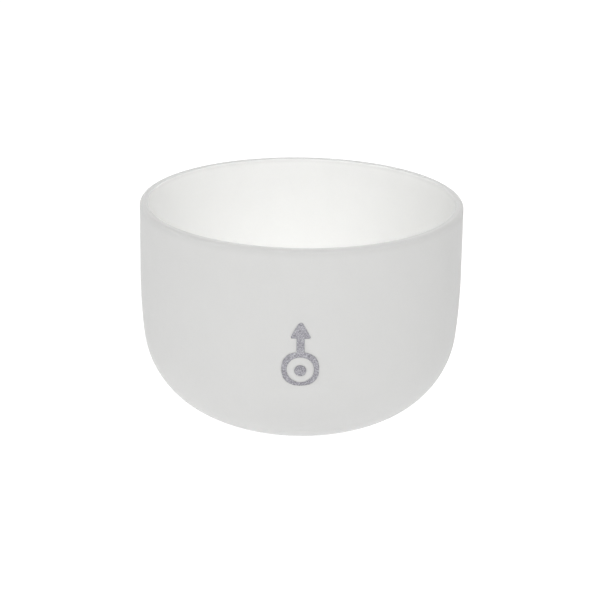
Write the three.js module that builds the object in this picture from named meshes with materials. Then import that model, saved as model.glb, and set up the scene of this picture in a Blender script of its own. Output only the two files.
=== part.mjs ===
// A frosted quartz singing bowl with a sign printed on its front.
// Millimetres, +Z up. The origin is the middle of the flat foot that the bowl stands on, and the
// front, with the sign, faces -Y.

import * as THREE from 'three';
import { TessellateModifier } from 'three/addons/modifiers/TessellateModifier.js';
import { mergeVertices } from 'three/addons/utils/BufferGeometryUtils.js';

// The bowl
const RIM_RADIUS = 127;      // 10 in across
const BOWL_HEIGHT = 177.8;   // 7 in high
const WALL = 6.3;
const OUTER_ROUNDING = 3;    // of the ground lip's outer edge
const INNER_ROUNDING = 0.8;  // and of its inner edge
// Below its straight top the wall bends inwards until it is flat. Each bend has its outer face's
// radius, and the angle from upright at which it ends.
const BENDS = [
  { name: 'belly', radius: 468, endLean: 6.1 },
  { name: 'shoulder', radius: 74.2, endLean: 57.4 },
  { name: 'base', radius: 108, endLean: 90 },
];

// The printed sign: a ring with a dot in it and an upright arrow on it. Sizes are measured on the
// wall, and heights upwards from the ring's centre.
const RING_CENTRE_DEPTH = 93.6;   // down the wall from the rim
const RING_WIDTH = 28.2;
const RING_HEIGHT = 27.4;
const RING_SQUARENESS = 2.4;      // of its outside; 2 would be an ellipse
const RING_HOLE_RADIUS = 10.3;
const RING_HOLE_HEIGHT = -0.7;
const DOT_RADIUS = 4.5;
const DOT_HEIGHT = -1.3;
const STEM_WIDTH = 6;
// The arrowhead's corners before they are rounded, and how far each rounding reaches from them.
const HEAD_WIDTH = 16.3;
const HEAD_BASE_HEIGHT = 24.7;
const HEAD_TIP_HEIGHT = 40.1;
const HEAD_CORNER_ROUNDING = 2.4;
const HEAD_TIP_ROUNDING = 6.2;
const PRINT_THICKNESS = 0.3;
const PRINT_GAP = 0.2;       // keeps the print clear of the wall behind it

// How finely the curves are divided
const TURN_STEPS = 64;       // round the bowl
const CHORD_ERROR = 0.15;    // between a bend and its chords
const LIP_STEPS = 2;         // for each quarter turn, in pairs
const CIRCLE_STEPS = 16;     // for each circle of the print, in pairs
const RING_STEPS = 40;       // for the ring's outside
const CORNER_STEPS = 4;
const PRINT_EDGE = 3.5;      // the longest edge on the print, so that it follows the wall
const PRINT_PASSES = 30;     // enough to halve every edge that is longer

const QUARTER_TURN = Math.PI / 2;
const FULL_TURN = 2 * Math.PI;

// The outward normal of a wall that leans by that angle, as (radius, height).
function outward(lean) {
  return new THREE.Vector2(Math.cos(lean), -Math.sin(lean));
}

// The bends one below the other, each starting where and as the one above it ends, with the
// lowest ending at height 0.
function placeBends() {
  const end = new THREE.Vector2(RIM_RADIUS, 0);
  const placed = [];
  let lean = 0;
  for (const { radius, endLean } of BENDS) {
    const centre = end.clone().addScaledVector(outward(lean), -radius);
    const bend = { radius, centre, from: lean, to: THREE.MathUtils.degToRad(endLean) };
    lean = bend.to;
    end.copy(centre).addScaledVector(outward(lean), radius);
    placed.push(bend);
  }
  for (const bend of placed) bend.centre.y -= end.y;
  return placed;
}

const PLACED_BENDS = placeBends();
const STRAIGHT_DEPTH = BOWL_HEIGHT - PLACED_BENDS[0].centre.y;

// The points down a face of the wall, from the straight top's foot to the flat floor. inset is
// how far the face lies inside the outer one.
function bendPoints(inset) {
  const points = [];
  for (const { radius, centre, from, to } of PLACED_BENDS) {
    const steps = Math.ceil((to - from) / (2 * Math.acos(1 - CHORD_ERROR / radius)));
    for (let step = points.length ? 1 : 0; step <= steps; step++) {
      const lean = THREE.MathUtils.lerp(from, to, step / steps);
      points.push(centre.clone().addScaledVector(outward(lean), radius - inset));
    }
  }
  return points;
}

// The lip: its flat top between two rounded edges, from the outer face to the inner one.
function lipPoints() {
  const outer = new THREE.Vector2(RIM_RADIUS - OUTER_ROUNDING, BOWL_HEIGHT - OUTER_ROUNDING);
  const inner = new THREE.Vector2(RIM_RADIUS - WALL + INNER_ROUNDING, BOWL_HEIGHT - INNER_ROUNDING);
  const section = new THREE.Path();
  section.moveTo(RIM_RADIUS, outer.y);
  section.absarc(outer.x, outer.y, OUTER_ROUNDING, 0, QUARTER_TURN, false);
  section.absarc(inner.x, inner.y, INNER_ROUNDING, QUARTER_TURN, Math.PI, false);
  return section.getPoints(LIP_STEPS);
}

function makeBowl() {
  const section = [
    new THREE.Vector2(0, 0),
    ...bendPoints(0).reverse(),
    ...lipPoints(),
    ...bendPoints(WALL),
    new THREE.Vector2(0, WALL),
  ];
  const geometry = new THREE.LatheGeometry(section, TURN_STEPS).rotateX(QUARTER_TURN);
  const quartz = new THREE.MeshStandardMaterial({
    color: 0xe9eae7,
    roughness: 0.55,
    metalness: 0,
  });
  const mesh = new THREE.Mesh(geometry, quartz);
  mesh.name = 'bowl';
  return mesh;
}

// The place on the outer face at that distance down it from the rim.
function wallAt(distance) {
  let left = distance - STRAIGHT_DEPTH;
  if (left <= 0) return { radius: RIM_RADIUS, height: BOWL_HEIGHT - distance, lean: 0 };
  for (const bend of PLACED_BENDS) {
    const length = bend.radius * (bend.to - bend.from);
    if (left <= length) {
      const lean = bend.from + left / bend.radius;
      const place = bend.centre.clone().addScaledVector(outward(lean), bend.radius);
      return { radius: place.x, height: place.y, lean };
    }
    left -= length;
  }
  throw new Error('the sign runs off the wall');
}

// Lays a flat drawing on the bowl's front: x goes round the wall, y up it and z out of it.
function layOnWall(geometry) {
  const position = geometry.getAttribute('position');
  const point = new THREE.Vector3();
  for (let i = 0; i < position.count; i++) {
    point.fromBufferAttribute(position, i);
    const place = wallAt(RING_CENTRE_DEPTH - point.y);
    const normal = outward(place.lean);
    const turn = point.x / place.radius;
    const reach = place.radius + point.z * normal.x;
    position.setXYZ(
      i,
      reach * Math.sin(turn),
      -reach * Math.cos(turn),
      place.height + point.z * normal.y,
    );
  }
  return geometry;
}

function makePrint(name, outline) {
  const flat = new THREE.ExtrudeGeometry(outline, {
    depth: PRINT_THICKNESS,
    bevelEnabled: false,
    curveSegments: CIRCLE_STEPS,
  }).translate(0, 0, PRINT_GAP);
  const fine = new TessellateModifier(PRINT_EDGE, PRINT_PASSES).modify(flat);
  fine.deleteAttribute('normal');
  fine.deleteAttribute('uv');
  const geometry = layOnWall(mergeVertices(fine));
  geometry.computeVertexNormals();
  const glitter = new THREE.MeshStandardMaterial({
    color: 0xa3a2aa,
    roughness: 0.45,
    metalness: 0.6,
  });
  const mesh = new THREE.Mesh(geometry, glitter);
  mesh.name = name;
  return mesh;
}

// The arrowhead, from its lower left corner over the tip to its lower right one.
function addArrowhead(outline) {
  const corners = [
    { at: new THREE.Vector2(-HEAD_WIDTH / 2, HEAD_BASE_HEIGHT), rounding: HEAD_CORNER_ROUNDING },
    { at: new THREE.Vector2(0, HEAD_TIP_HEIGHT), rounding: HEAD_TIP_ROUNDING },
    { at: new THREE.Vector2(HEAD_WIDTH / 2, HEAD_BASE_HEIGHT), rounding: HEAD_CORNER_ROUNDING },
  ];
  corners.forEach(({ at, rounding }, i) => {
    const towards = (other) => at.clone().add(other.at.clone().sub(at).setLength(rounding));
    const before = towards(corners.at(i - 1));
    const after = towards(corners[(i + 1) % corners.length]);
    const curve = new THREE.QuadraticBezierCurve(before, at, after);
    for (const point of curve.getPoints(CORNER_STEPS)) outline.lineTo(point.x, point.y);
  });
}

// The ring's outside, from the stem's right side down round to its left side.
function ringPoints() {
  const power = 2 / RING_SQUARENESS;
  const swell = (share) => Math.sign(share) * Math.abs(share) ** power;
  const stemAngle = Math.acos((STEM_WIDTH / RING_WIDTH) ** (1 / power));
  const points = [];
  for (let step = 0; step <= RING_STEPS; step++) {
    const angle = THREE.MathUtils.lerp(stemAngle, -Math.PI - stemAngle, step / RING_STEPS);
    const across = swell(Math.cos(angle)) * RING_WIDTH / 2;
    const up = swell(Math.sin(angle)) * RING_HEIGHT / 2;
    points.push(new THREE.Vector2(across, up));
  }
  return points;
}

function makeRingAndArrow() {
  const halfStem = STEM_WIDTH / 2;
  const outline = new THREE.Shape(ringPoints());
  outline.lineTo(-halfStem, HEAD_BASE_HEIGHT);
  addArrowhead(outline);
  outline.lineTo(halfStem, HEAD_BASE_HEIGHT);
  const hole = new THREE.Path().absarc(0, RING_HOLE_HEIGHT, RING_HOLE_RADIUS, 0, FULL_TURN, false);
  outline.holes.push(hole);
  return makePrint('sign_ring_arrow', outline);
}

function makeDot() {
  const outline = new THREE.Shape().absarc(0, DOT_HEIGHT, DOT_RADIUS, 0, FULL_TURN, false);
  return makePrint('sign_dot', outline);
}

const singingBowl = new THREE.Group();
singingBowl.add(makeBowl(), makeRingAndArrow(), makeDot());

export default singingBowl;
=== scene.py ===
import math

import bpy
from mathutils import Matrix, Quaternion, Vector
from mathutils.geometry import delaunay_2d_cdt


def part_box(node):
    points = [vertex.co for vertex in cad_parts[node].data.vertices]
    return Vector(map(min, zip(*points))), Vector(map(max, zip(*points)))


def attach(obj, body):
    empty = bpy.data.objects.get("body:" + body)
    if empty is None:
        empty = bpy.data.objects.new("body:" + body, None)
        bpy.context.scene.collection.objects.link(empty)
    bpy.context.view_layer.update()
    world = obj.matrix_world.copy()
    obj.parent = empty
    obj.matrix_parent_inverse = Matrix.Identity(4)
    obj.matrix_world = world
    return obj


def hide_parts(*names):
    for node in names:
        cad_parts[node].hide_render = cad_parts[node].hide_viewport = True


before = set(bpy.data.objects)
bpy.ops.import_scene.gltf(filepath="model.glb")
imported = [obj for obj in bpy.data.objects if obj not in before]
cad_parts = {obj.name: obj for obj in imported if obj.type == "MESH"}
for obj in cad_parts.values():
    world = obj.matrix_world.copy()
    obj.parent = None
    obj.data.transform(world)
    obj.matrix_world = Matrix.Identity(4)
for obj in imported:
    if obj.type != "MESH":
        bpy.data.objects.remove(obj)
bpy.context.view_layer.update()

# ---------------------------------------------------------------- driving dimensions, in metres

MM = 0.001
_, BOWL_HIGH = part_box("bowl")
RIM_RADIUS = BOWL_HIGH.x
BOWL_HEIGHT = BOWL_HIGH.z
WALL = 6.3 * MM
OUTER_ROUNDING = 3 * MM     # of the lip's outer edge
INNER_ROUNDING = 0.8 * MM   # and of its inner edge
# Below its straight top the wall bends inwards until it is flat: each bend's outer radius, and
# the angle from upright at which it ends.
BENDS = ((468 * MM, 6.1), (74.2 * MM, 57.4), (108 * MM, 90.0))

# The printed sign, measured on the wall. Heights are up from the ring's centre.
RING_CENTRE_DEPTH = 93.6 * MM   # down the wall from the rim
RING_WIDTH = 28.2 * MM
RING_HEIGHT = 27.4 * MM
RING_SQUARENESS = 2.4   # of its outside; 2 would be an ellipse
HOLE_RADIUS = 10.3 * MM
HOLE_HEIGHT = -0.7 * MM
DOT_RADIUS = 4.5 * MM
DOT_HEIGHT = -1.3 * MM
STEM_WIDTH = 6 * MM
HEAD_WIDTH = 16.3 * MM
HEAD_BASE_HEIGHT = 24.7 * MM
HEAD_TIP_HEIGHT = 40.1 * MM
HEAD_CORNER_ROUNDING = 2.4 * MM
HEAD_TIP_ROUNDING = 6.2 * MM
PRINT_GAP = 0.02 * MM           # between the wall and the print
PRINT_THICKNESS = 0.15 * MM
FLAKE = 0.45 * MM               # the size of a flake, and of a facet of the print

# How finely the curves are divided
TURN_STEPS = 384
BEND_STEP = math.radians(1.5)
STRAIGHT_STEP = 4 * MM
LIP_STEPS = 12
RING_STEPS = 96
HOLE_STEPS = 80
DOT_STEPS = 48
CORNER_STEPS = 8

# How the print's flat drawing is cut into triangles
BORDER_CLEARANCE = 0.4 * FLAKE   # a facet's corner is on a border, or this far from its points
ONLY_INSIDE = 1                  # the triangulation leaves out what lies outside the borders
SAME_POINT = 1e-7                # points closer than this are one

# ---------------------------------------------------------------- the section of the wall


def outward(lean):
    """The outward normal of a wall that leans by that angle from upright, as (radius, height)."""
    return Vector((math.cos(lean), -math.sin(lean)))


def place_bends():
    """The bends as (radius, centre, from, to), each starting where and as the one above ends."""
    end = Vector((RIM_RADIUS, 0))
    lean = 0.0
    placed = []
    for radius, end_degrees in BENDS:
        centre = end - outward(lean) * radius
        start = lean
        lean = math.radians(end_degrees)
        end = centre + outward(lean) * radius
        placed.append((radius, centre, start, lean))
    for _, centre, _, _ in placed:
        centre.y -= end.y
    return placed


PLACED_BENDS = place_bends()
STRAIGHT_FOOT = PLACED_BENDS[0][1].y   # the height at which the straight top ends


def face_points(inset, top):
    """Points down a face of the wall from height top to the flat floor, inset from the outside."""
    steps = math.ceil((top - STRAIGHT_FOOT) / STRAIGHT_STEP)
    drop = (top - STRAIGHT_FOOT) / steps
    points = [Vector((RIM_RADIUS - inset, top - drop * i)) for i in range(steps)]
    for bend, (radius, centre, start, end) in enumerate(PLACED_BENDS):
        steps = math.ceil((end - start) / BEND_STEP)
        first = 0 if bend == 0 else 1   # the other bends start on a point that is already there
        for i in range(first, steps + 1):
            lean = start + (end - start) * i / steps
            points.append(centre + outward(lean) * (radius - inset))
    return points


def quarter(centre, radius, start):
    """Points on a quarter turn from the start angle, both ends included."""
    angles = [start + math.pi / 2 * i / LIP_STEPS for i in range(LIP_STEPS + 1)]
    return [centre + Vector((math.cos(a), math.sin(a))) * radius for a in angles]


def wall_at(distance):
    """Radius, height and lean of the outer face at that distance down it from the rim."""
    left = distance - (BOWL_HEIGHT - STRAIGHT_FOOT)
    if left <= 0:
        return RIM_RADIUS, BOWL_HEIGHT - distance, 0.0
    for radius, centre, start, end in PLACED_BENDS:
        length = radius * (end - start)
        if left <= length:
            lean = start + left / radius
            point = centre + outward(lean) * radius
            return point.x, point.y, lean
        left -= length
    raise ValueError("the sign runs off the wall")


# ---------------------------------------------------------------- the shell


def new_piece(name, vertices, faces, material):
    """A smooth-shaded object in the scene, made of these vertices and faces."""
    mesh = bpy.data.meshes.new(name)
    mesh.from_pydata(vertices, [], faces)
    mesh.materials.append(material)
    mesh.polygons.foreach_set("use_smooth", [True] * len(mesh.polygons))
    mesh.update()
    piece = bpy.data.objects.new(name, mesh)
    bpy.context.scene.collection.objects.link(piece)
    return piece


def eased(t):
    """0 to 1 as t goes from 0 to 1, slowly at both ends."""
    return t * t * (3 - 2 * t)


def bowl_section():
    """The section from the foot up the outside, over the lip and down the inside to the floor.

    Each point has its place, how far it is part of the lip, and how far of the melted inside.
    """
    outer = Vector((RIM_RADIUS - OUTER_ROUNDING, BOWL_HEIGHT - OUTER_ROUNDING))
    inner = Vector((RIM_RADIUS - WALL + INNER_ROUNDING, BOWL_HEIGHT - INNER_ROUNDING))
    section = [(point, 0, 0) for point in face_points(0, outer.y)[:0:-1]]
    for i, point in enumerate(quarter(outer, OUTER_ROUNDING, 0)):
        section.append((point, (i / LIP_STEPS) ** 2, 0))
    for i, point in enumerate(quarter(inner, INNER_ROUNDING, math.pi / 2)):
        share_melted = eased(i / LIP_STEPS)
        section.append((point, 1 - share_melted, share_melted))
    section += [(point, 0, 1) for point in face_points(WALL, inner.y)[1:]]
    return section


def make_bowl(material):
    """The quartz shell, turned from its section, with a pole at each end."""
    section = bowl_section()
    vertices, faces, lip, melted = [], [], [], []
    for point, lip_share, melted_share in section:
        for i in range(TURN_STEPS):
            turn = 2 * math.pi * i / TURN_STEPS
            vertices.append((point.x * math.cos(turn), point.x * math.sin(turn), point.y))
        lip += [lip_share] * TURN_STEPS
        melted += [melted_share] * TURN_STEPS
    last_ring = (len(section) - 1) * TURN_STEPS
    for ring in range(0, last_ring, TURN_STEPS):
        for i in range(TURN_STEPS):
            a = ring + i
            b = ring + (i + 1) % TURN_STEPS
            faces.append((a, b, b + TURN_STEPS, a + TURN_STEPS))
    below = len(vertices)
    above = below + 1
    vertices += [(0, 0, 0), (0, 0, WALL)]
    for i in range(TURN_STEPS):
        following = (i + 1) % TURN_STEPS
        faces.append((below, following, i))
        faces.append((above, last_ring + i, last_ring + following))
    bowl = new_piece("quartz_shell", vertices, faces, material)
    for name, shares in (("lip", lip + [0, 0]), ("melted", melted + [0, 1])):
        attribute = bowl.data.attributes.new(name, "FLOAT", "POINT")
        attribute.data.foreach_set("value", shares)
    return bowl


# ---------------------------------------------------------------- the print


def circle(radius, height, steps):
    """A circle in the flat drawing, with its centre that high above the ring's centre."""
    turns = [2 * math.pi * i / steps for i in range(steps)]
    return [Vector((radius * math.cos(t), height + radius * math.sin(t))) for t in turns]


def swollen(part):
    """A cosine or sine moved outwards, so that they draw a loop squarer than an ellipse."""
    return math.copysign(abs(part) ** (2 / RING_SQUARENESS), part)


def ring_and_arrow_outline():
    """The ring's outside from the stem's right side round to its left, and then the arrow."""
    half_stem = STEM_WIDTH / 2
    stem_angle = math.acos((STEM_WIDTH / RING_WIDTH) ** (RING_SQUARENESS / 2))
    sweep = math.pi + 2 * stem_angle
    points = []
    for i in range(RING_STEPS + 1):
        turn = stem_angle - sweep * i / RING_STEPS
        across, up = swollen(math.cos(turn)), swollen(math.sin(turn))
        points.append(Vector((across * RING_WIDTH, up * RING_HEIGHT)) / 2)
    points.append(Vector((-half_stem, HEAD_BASE_HEIGHT)))
    corners = (
        (Vector((-HEAD_WIDTH / 2, HEAD_BASE_HEIGHT)), HEAD_CORNER_ROUNDING),
        (Vector((0, HEAD_TIP_HEIGHT)), HEAD_TIP_ROUNDING),
        (Vector((HEAD_WIDTH / 2, HEAD_BASE_HEIGHT)), HEAD_CORNER_ROUNDING),
    )
    for i, (corner, rounding) in enumerate(corners):
        before = corner + (corners[i - 1][0] - corner).normalized() * rounding
        after = corner + (corners[(i + 1) % 3][0] - corner).normalized() * rounding
        for step in range(CORNER_STEPS + 1):
            t = step / CORNER_STEPS
            points.append(before * (1 - t) ** 2 + corner * 2 * t * (1 - t) + after * t**2)
    points.append(Vector((half_stem, HEAD_BASE_HEIGHT)))
    return points


def on_wall(point, height):
    """Lays a point of the flat drawing on the bowl's front, that high above the wall."""
    radius, z, lean = wall_at(RING_CENTRE_DEPTH - point.y)
    normal = outward(lean)
    reach = radius + height * normal.x
    turn = point.x / radius
    return (reach * math.sin(turn), -reach * math.cos(turn), z + height * normal.y)


def is_within(point, loop):
    """True if the point is inside the loop of points."""
    crossed = False
    for a, b in zip(loop, loop[1:] + loop[:1]):
        if (a.y > point.y) != (b.y > point.y):
            crossed ^= point.x < a.x + (b.x - a.x) * (point.y - a.y) / (b.y - a.y)
    return crossed


def facet_corners(outline, hole):
    """Points in the print, a flake apart and row by row, that are clear of its borders' points."""
    borders = outline + list(hole)
    low_x, high_x = min(p.x for p in outline), max(p.x for p in outline)
    low_y, high_y = min(p.y for p in outline), max(p.y for p in outline)
    corners = []
    for row in range(math.ceil((high_y - low_y) / FLAKE)):
        shift = 0.5 * (row % 2)
        for column in range(math.ceil((high_x - low_x) / FLAKE)):
            point = Vector((low_x + (column + shift) * FLAKE, low_y + row * FLAKE))
            if min((point - other).length for other in borders) <= BORDER_CLEARANCE:
                continue
            if is_within(point, outline) and not (hole and is_within(point, hole)):
                corners.append(point)
    return corners


def make_print(name, material, outline, hole=()):
    """A thin film on the wall, cut to the outline, with its front in small flake-sized facets."""
    points, edges = [], []
    for loop in (outline, hole):
        first = len(points)
        points += loop
        edges += [(first + i, first + (i + 1) % len(loop)) for i in range(len(loop))]
    points += facet_corners(outline, hole)
    cut = delaunay_2d_cdt(points, edges, [], ONLY_INSIDE, SAME_POINT)
    flat, triangles = cut[0], cut[2]
    if hole:
        middles = [(flat[a] + flat[b] + flat[c]) / 3 for a, b, c in triangles]
        triangles = [t for t, middle in zip(triangles, middles) if not is_within(middle, hole)]
    count = len(flat)
    back = [on_wall(p, PRINT_GAP) for p in flat]
    front = [on_wall(p, PRINT_GAP + PRINT_THICKNESS) for p in flat]
    faces = [(a + count, b + count, c + count) for a, b, c in triangles]
    faces += [(c, b, a) for a, b, c in triangles]
    sides = {(t[i], t[(i + 1) % 3]) for t in triangles for i in range(3)}
    faces += [(a, b, b + count, a + count) for a, b in sides if (b, a) not in sides]
    return new_piece(name, back + front, faces, material)


# ---------------------------------------------------------------- materials

# The quartz: how bright and rough each face is, its tint, and how far light spreads in it
# Painted light and shade: the same milky quartz gets a darker tone outside and a much lighter one
# inside, standing for the light that falls into the bowl.
OUTSIDE_TONE_WITH_PAINTED_SHADE = 0.553
# Painted shade: the outside is darker in a band under the rim.
PAINTED_RIM_SHADE_TONE = 0.515
LIP_TONE = 0.61
INSIDE_TONE_WITH_PAINTED_LIGHT = 0.9
# Painted shade: the inside is darker in a band under the rim.
INSIDE_PAINTED_RIM_SHADE_TONE = 0.83
PAINTED_RIM_SHADE_REACH = 8 * MM          # how far down from the rim the outside's painted shade fades out
INSIDE_PAINTED_RIM_SHADE_REACH = 5 * MM   # and the inside's
QUARTZ_TINT = (1, 1, 0.988)
QUARTZ_SCATTER = 4 * MM
QUARTZ_IOR = 1.458
OUTSIDE_ROUGHNESS = 0.65
LIP_ROUGHNESS = 0.36
INSIDE_ROUGHNESS = 0.46

# How large the quartz's clouds, specks and rougher patches are, and how far they change it
CLOUD_SIZE = 22 * MM
CLOUD_STRENGTH = 0.006
SPECK_SIZE = 0.9 * MM
SPECK_STRENGTH = 0.01
PATCH_SIZE = 3 * MM
PATCH_STRENGTH = 0.06

# The quartz's relief: how large its features are, and how deep
SAND_SIZE = 0.8 * MM       # outside
SAND_DEPTH = 0.05 * MM
DENT_SIZE = 9 * MM         # outside
DENT_DEPTH = 0.12 * MM
GRINDING_SIZE = 0.3 * MM   # on the lip
GRINDING_DEPTH = 0.012 * MM
RIPPLE_SIZE = 14 * MM      # inside
RIPPLE_DEPTH = 0.2 * MM

# The glitter's flakes. About three in five are darker than the middle colour.
DARK_FLAKE = (0.16, 0.155, 0.175, 1)
MIDDLE_FLAKE = (0.28, 0.275, 0.30, 1)
BRIGHT_FLAKE = (0.50, 0.50, 0.53, 1)
MIDDLE_SHARE = 0.6
GLOSSIEST_FLAKE = 0.28   # as a roughness
DULLEST_FLAKE = 0.55
FLAKE_TILT = 0.5
FLAKE_METALLIC = 0.5

FLOOR_GREY = (0.1, 0.1, 0.1, 1)   # under its glow
FLOOR_ROUGHNESS = 0.9
WHITE = (1, 1, 1, 1)

NOISE_RANGE = (0.3, 0.7)   # most of a noise texture's values lie between these
FULL_RANGE = (0, 1)


def new_material(name):
    """A new material, its nodes and its shader."""
    material = bpy.data.materials.new(name)
    material.use_nodes = True
    return material, material.node_tree, material.node_tree.nodes["Principled BSDF"]


def add(tree, kind, inputs, **settings):
    """A new node. An input given a socket is linked to it, and any other is set."""
    made = tree.nodes.new("ShaderNode" + kind)
    for name, value in settings.items():
        setattr(made, name, value)
    for name, value in inputs.items():
        if isinstance(value, bpy.types.NodeSocket):
            tree.links.new(value, made.inputs[name])
        else:
            made.inputs[name].default_value = value
    return made


def grain(tree, size, detail=2.0):
    """Noise from 0 to 1 fixed to the object, with features of that size in metres."""
    place = add(tree, "TexCoord", {}).outputs["Object"]
    noise = add(tree, "TexNoise", {"Vector": place, "Scale": 1 / size, "Detail": detail})
    return noise.outputs["Fac"]


def spread(tree, value, low, high, ends=NOISE_RANGE, kind="LINEAR"):
    """A value from low to high as the given one goes between the ends."""
    inputs = {"Value": value, "From Min": ends[0], "From Max": ends[1], "To Min": low, "To Max": high}
    return add(tree, "MapRange", inputs, interpolation_type=kind).outputs["Result"]


def combined(tree, operation, first, second):
    """The two values added, subtracted or multiplied, as the operation says."""
    return add(tree, "Math", {0: first, 1: second}, operation=operation).outputs["Value"]


def share_of(tree, name):
    """The shell's attribute of that name, lip or melted."""
    return add(tree, "Attribute", {}, attribute_name=name).outputs["Fac"]


def by_face(tree, outside, lip, inside):
    """A value that goes from the outside's to the lip's to the melted inside's along the section."""
    value = spread(tree, share_of(tree, "melted"), outside, inside, FULL_RANGE)
    rest = combined(tree, "SUBTRACT", 1, share_of(tree, "lip"))
    value = combined(tree, "MULTIPLY", value, rest)
    lip = combined(tree, "MULTIPLY", lip, share_of(tree, "lip"))
    return combined(tree, "ADD", value, lip)


def grinding_lines(tree):
    """Noise from 0 to 1 that changes only with the distance from the axis: lines round the lip."""
    place = add(tree, "TexCoord", {}).outputs["Object"]
    flat = add(tree, "VectorMath", {0: place, 1: (1, 1, 0)}, operation="MULTIPLY")
    radius = add(tree, "VectorMath", {0: flat.outputs["Vector"]}, operation="LENGTH")
    inputs = {"W": radius.outputs["Value"], "Scale": 1 / GRINDING_SIZE}
    return add(tree, "TexNoise", inputs, noise_dimensions="1D").outputs["Fac"]


def quartz_tone(tree):
    """How bright the quartz is: painted light makes it lighter inside, painted shade makes it darker
    outside and near the rim, and it is also cloudy and speckled.
    """
    place = add(tree, "TexCoord", {}).outputs["Object"]
    height = add(tree, "SeparateXYZ", {"Vector": place}).outputs["Z"]
    # Painted shade: both faces darken towards the rim.
    outer_painted_shade_band = (BOWL_HEIGHT - PAINTED_RIM_SHADE_REACH, BOWL_HEIGHT)
    outside = spread(tree, height, OUTSIDE_TONE_WITH_PAINTED_SHADE, PAINTED_RIM_SHADE_TONE, outer_painted_shade_band, "SMOOTHSTEP")
    inner_painted_shade_band = (BOWL_HEIGHT - INSIDE_PAINTED_RIM_SHADE_REACH, BOWL_HEIGHT)
    inside = spread(tree, height, INSIDE_TONE_WITH_PAINTED_LIGHT, INSIDE_PAINTED_RIM_SHADE_TONE, inner_painted_shade_band, "SMOOTHSTEP")
    clouds = grain(tree, CLOUD_SIZE, detail=3)
    clouds = spread(tree, clouds, 1 - CLOUD_STRENGTH, 1 + CLOUD_STRENGTH)
    specks = spread(tree, grain(tree, SPECK_SIZE), 1 - SPECK_STRENGTH, 1 + SPECK_STRENGTH)
    # The inside's painted light and the outside's painted shade meet here with the lip's own tone.
    tone = by_face(tree, outside, LIP_TONE, inside)
    return combined(tree, "MULTIPLY", tone, combined(tree, "MULTIPLY", clouds, specks))


def quartz_relief(tree):
    """How far the quartz's surface stands up: sandy outside, ground on the lip, rippled inside."""
    sand = combined(tree, "MULTIPLY", grain(tree, SAND_SIZE, detail=3), SAND_DEPTH)
    dents = combined(tree, "MULTIPLY", grain(tree, DENT_SIZE), DENT_DEPTH)
    lines = combined(tree, "MULTIPLY", grinding_lines(tree), GRINDING_DEPTH)
    ripple = combined(tree, "MULTIPLY", grain(tree, RIPPLE_SIZE), RIPPLE_DEPTH)
    return by_face(tree, combined(tree, "ADD", sand, dents), lines, ripple)


def quartz():
    """Milky fused quartz, in which light spreads evenly for all colours."""
    material, tree, shader = new_material("quartz_milky")
    tint = {"Vector": QUARTZ_TINT, "Scale": quartz_tone(tree)}
    colour = add(tree, "VectorMath", tint, operation="SCALE").outputs["Vector"]
    tree.links.new(colour, shader.inputs["Base Color"])

    patches = spread(tree, grain(tree, PATCH_SIZE), -PATCH_STRENGTH, PATCH_STRENGTH)
    roughness = by_face(tree, OUTSIDE_ROUGHNESS, LIP_ROUGHNESS, INSIDE_ROUGHNESS)
    roughness = combined(tree, "ADD", roughness, patches)
    tree.links.new(roughness, shader.inputs["Roughness"])

    bump = add(tree, "Bump", {"Height": quartz_relief(tree), "Distance": 1})
    tree.links.new(bump.outputs["Normal"], shader.inputs["Normal"])

    shader.inputs["IOR"].default_value = QUARTZ_IOR
    shader.inputs["Subsurface Weight"].default_value = 1
    shader.inputs["Subsurface Radius"].default_value = (1, 1, 1)
    shader.inputs["Subsurface Scale"].default_value = QUARTZ_SCATTER
    return material


def glitter():
    """Resin full of metal flakes: each flake has its own brightness, tint, gloss and tilt."""
    material, tree, shader = new_material("glitter_print")
    place = add(tree, "TexCoord", {}).outputs["Object"]
    flakes = add(tree, "TexVoronoi", {"Vector": place, "Scale": 1 / FLAKE, "Randomness": 1})
    parts = add(tree, "SeparateColor", {"Color": flakes.outputs["Color"]})
    ramp = add(tree, "ValToRGB", {"Fac": parts.outputs["Red"]})
    dark, bright = ramp.color_ramp.elements
    dark.color = DARK_FLAKE
    bright.color = BRIGHT_FLAKE
    middle = ramp.color_ramp.elements.new(MIDDLE_SHARE)
    middle.color = MIDDLE_FLAKE
    tree.links.new(ramp.outputs["Color"], shader.inputs["Base Color"])
    gloss = spread(tree, parts.outputs["Green"], GLOSSIEST_FLAKE, DULLEST_FLAKE, FULL_RANGE)
    tree.links.new(gloss, shader.inputs["Roughness"])
    centred = {0: flakes.outputs["Color"], 1: (0.5, 0.5, 0.5)}
    tilt = add(tree, "VectorMath", centred, operation="SUBTRACT").outputs["Vector"]
    tilt = {"Vector": tilt, "Scale": FLAKE_TILT}
    tilt = add(tree, "VectorMath", tilt, operation="SCALE").outputs["Vector"]
    facing = add(tree, "NewGeometry", {}).outputs["Normal"]
    normal = add(tree, "VectorMath", {0: facing, 1: tilt}, operation="ADD").outputs["Vector"]
    normal = add(tree, "VectorMath", {0: normal}, operation="NORMALIZE").outputs["Vector"]
    tree.links.new(normal, shader.inputs["Normal"])
    shader.inputs["Metallic"].default_value = FLAKE_METALLIC
    return material


def floor_material():
    """A light table: it glows as bright as the picture's white, so that no shadow shows on it."""
    material, _, shader = new_material("floor_white")
    shader.inputs["Base Color"].default_value = FLOOR_GREY
    shader.inputs["Roughness"].default_value = FLOOR_ROUGHNESS
    shader.inputs["Emission Color"].default_value = WHITE
    shader.inputs["Emission Strength"].default_value = 1
    return material


# ---------------------------------------------------------------- the studio

FLOOR_REACH = 6.0        # from the middle to each side, in metres
FLOOR_DROP = 0.2 * MM    # how far the floor lies below the foot
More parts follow.
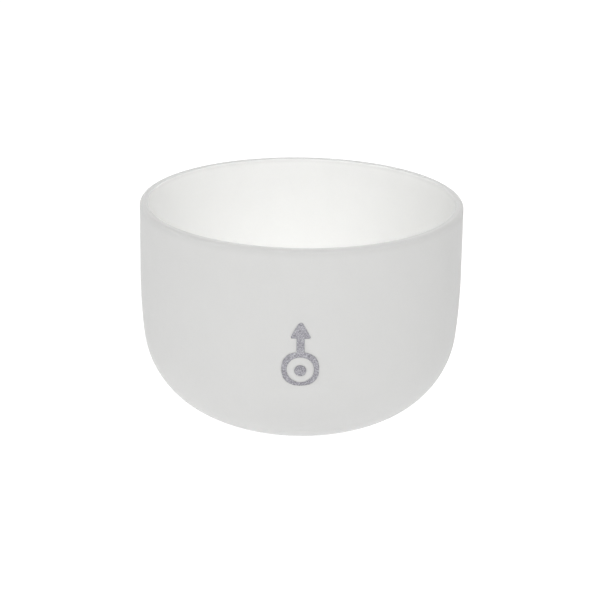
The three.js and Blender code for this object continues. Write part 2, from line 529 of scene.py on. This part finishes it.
# Each softbox's centre and size in metres, and its power in watts; all face the bowl's middle
SOFTBOXES = (
    ("softbox_front", (0, -2.4, 1.4), (0.9, 0.9), 23.3),
    ("softbox_overhead", (0, -0.8, 1.5), (1.2, 0.8), 3.5),
    ("softbox_back", (0, 0.7, 1.4), (1.2, 0.8), 8.7),
    ("softbox_right", (1.3, -1.2, 1.0), (0.9, 0.9), 0.95),
    ("strip_front", (0, -2.0, 0.1), (1.4, 0.14), 5.3),
    ("strip_left", (-1.5, -0.3, 0.09), (0.9, 0.12), 2.1),
)
# The backdrop's white ends between 20 and 35 degrees up, and a pale ceiling in front begins
# there. Both are given as the direction's Z.
BACKDROP_TOP = (math.sin(math.radians(20)), math.sin(math.radians(35)))
BACKDROP_SIDES = (-0.75, -0.15)   # where it ends towards the front, as the direction's Y
CEILING_STRENGTH = 1.73

BOWL_MIDDLE = Vector((0, 0, BOWL_HEIGHT / 2))
CAMERA_ELEVATION = math.radians(19.56)
CAMERA_TURN = math.radians(0.3)   # to the left of straight in front
CAMERA_DISTANCE = 14 * RIM_RADIUS
CAMERA_ROLL = math.radians(0.79)
CAMERA_LENS = 133.5   # in millimetres
SENSOR_WIDTH = 36     # in millimetres
AIM = Vector((-0.26 * MM, 0, 5.85 * MM))   # the view's centre, from the bowl's middle


def make_floor():
    """A square floor, which stays out of the finished part."""
    corners = [(-1, -1, 0), (1, -1, 0), (1, 1, 0), (-1, 1, 0)]
    corners = [Vector(corner) * FLOOR_REACH for corner in corners]
    floor = new_piece("studio_floor", corners, [(0, 1, 2, 3)], floor_material())
    floor.location.z = -FLOOR_DROP


def make_softbox(name, centre, size, watts):
    """A softbox that faces the bowl's middle and doesn't show itself in the picture."""
    lamp = bpy.data.lights.new(name, "AREA")
    lamp.shape = "RECTANGLE"
    lamp.size, lamp.size_y = size
    lamp.energy = watts
    softbox = bpy.data.objects.new(name, lamp)
    softbox.location = centre
    aim = BOWL_MIDDLE - centre
    softbox.rotation_euler = aim.to_track_quat("-Z", "Y").to_euler()
    softbox.visible_camera = False
    bpy.context.scene.collection.objects.link(softbox)


def make_world():
    """A white backdrop behind and beside the bowl, and a pale ceiling in front of it."""
    world = bpy.data.worlds.new("studio")
    world.use_nodes = True
    tree = world.node_tree
    ray = add(tree, "TexCoord", {}).outputs["Generated"]
    ray = add(tree, "SeparateXYZ", {"Vector": ray}).outputs
    backdrop = spread(tree, ray["Z"], 1, 0, BACKDROP_TOP, "SMOOTHSTEP")
    ceiling = spread(tree, ray["Z"], 0, CEILING_STRENGTH, BACKDROP_TOP, "SMOOTHSTEP")
    behind = spread(tree, ray["Y"], 0, 1, BACKDROP_SIDES, "SMOOTHSTEP")
    strength = add(tree, "Mix", {0: behind, 2: ceiling, 3: backdrop}).outputs[0]
    background = tree.nodes["Background"]
    background.inputs["Color"].default_value = WHITE
    tree.links.new(strength, background.inputs["Strength"])
    bpy.context.scene.world = world


def make_camera():
    """The camera, in front of the bowl and above it, slightly turned and rolled."""
    camera = bpy.data.objects.new("camera", bpy.data.cameras.new("camera"))
    camera.data.lens = CAMERA_LENS
    camera.data.sensor_width = SENSOR_WIDTH
    back = Vector((0, -math.cos(CAMERA_ELEVATION), math.sin(CAMERA_ELEVATION)))
    back.rotate(Quaternion((0, 0, 1), -CAMERA_TURN))
    camera.location = BOWL_MIDDLE + back * CAMERA_DISTANCE
    gaze = BOWL_MIDDLE + AIM - camera.location
    camera.rotation_mode = "QUATERNION"
    roll = Quaternion((0, 0, 1), CAMERA_ROLL)
    camera.rotation_quaternion = gaze.to_track_quat("-Z", "Y") @ roll
    bpy.context.scene.collection.objects.link(camera)
    bpy.context.scene.camera = camera


# ---------------------------------------------------------------- the object

shell = make_bowl(quartz())
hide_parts("bowl")
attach(shell, "root")

glitter_print = glitter()
ring_hole = circle(HOLE_RADIUS, HOLE_HEIGHT, HOLE_STEPS)
arrow = make_print("print_ring_arrow", glitter_print, ring_and_arrow_outline(), ring_hole)
dot = make_print("print_dot", glitter_print, circle(DOT_RADIUS, DOT_HEIGHT, DOT_STEPS))
for piece, node in ((arrow, "sign_ring_arrow"), (dot, "sign_dot")):
    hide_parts(node)
    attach(piece, "root")

make_floor()
make_world()
for name, centre, size, watts in SOFTBOXES:
    make_softbox(name, Vector(centre), size, watts)
make_camera()
bpy.context.scene.view_settings.view_transform = "Standard"
